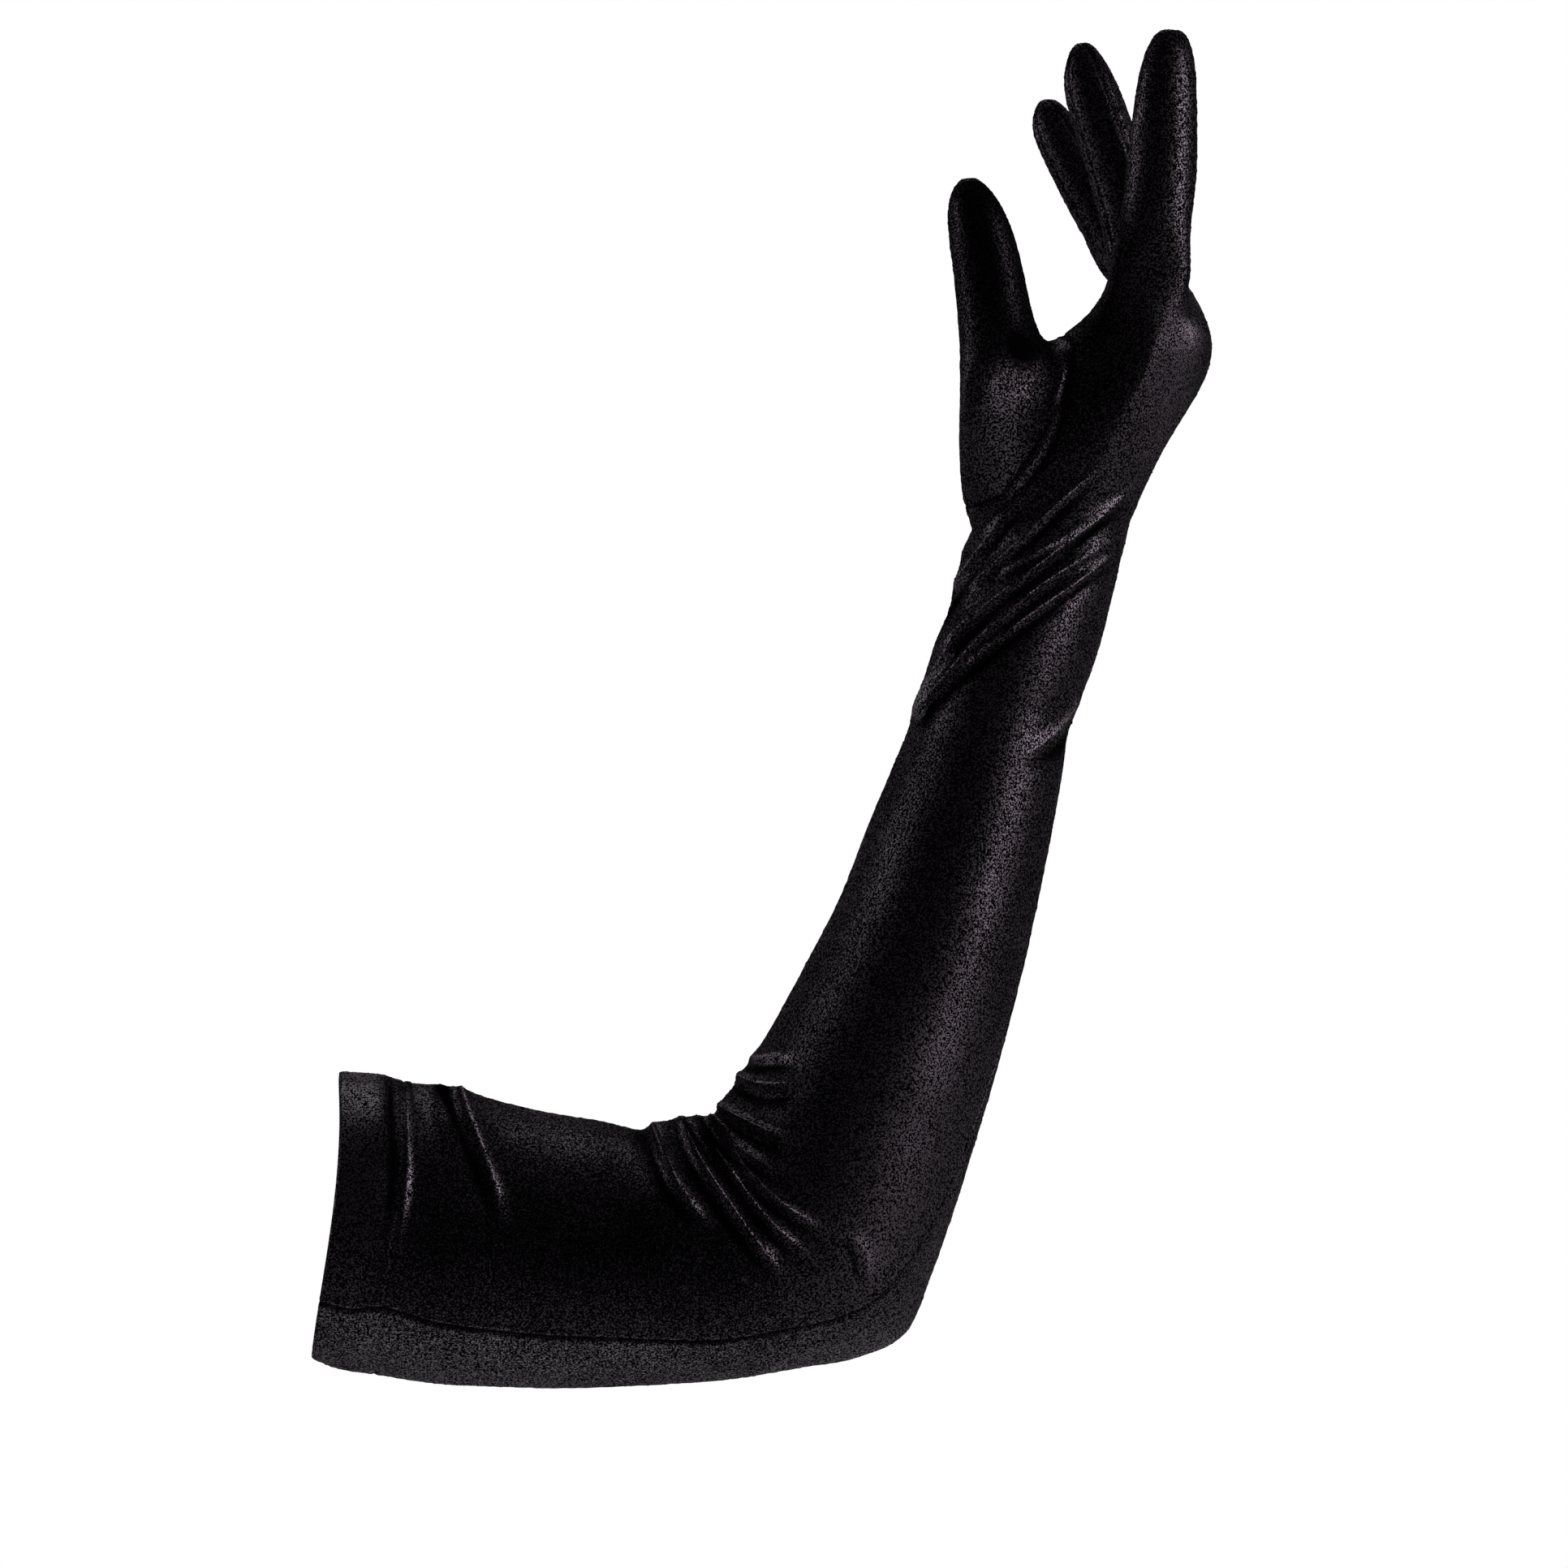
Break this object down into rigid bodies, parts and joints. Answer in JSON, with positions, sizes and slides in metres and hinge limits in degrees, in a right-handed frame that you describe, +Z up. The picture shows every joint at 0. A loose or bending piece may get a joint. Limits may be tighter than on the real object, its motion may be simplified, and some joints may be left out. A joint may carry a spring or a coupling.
{
  "type": "opera glove",
  "caption": "Long velvet opera glove for a right hand, in its worn form with a bent elbow: hemmed cuff, hollow sleeve with gathers at elbow and wrist, set-in thumb and curved fingers",
  "frame": {"origin": "the middle of the arm opening, in the plane of the cuff edge", "axes": "+X from the arm opening towards the elbow, +Z up towards the fingertips, +Y to the little finger's side, away from the viewer"},
  "size_m": [0.2892, 0.0918, 0.434],
  "materials": {
    "velvet": "black stretch velvet with a short pile and a faint sheen at its edges"
  },
  "bodies": {
    "root": {"cuff_hem": "velvet", "upper_sleeve": "velvet", "forearm_sleeve": "velvet", "hand": "velvet", "thumb": "velvet", "index_finger": "velvet", "middle_finger": "velvet", "ring_finger": "velvet", "little_finger": "velvet"}
  },
  "joints": []
}
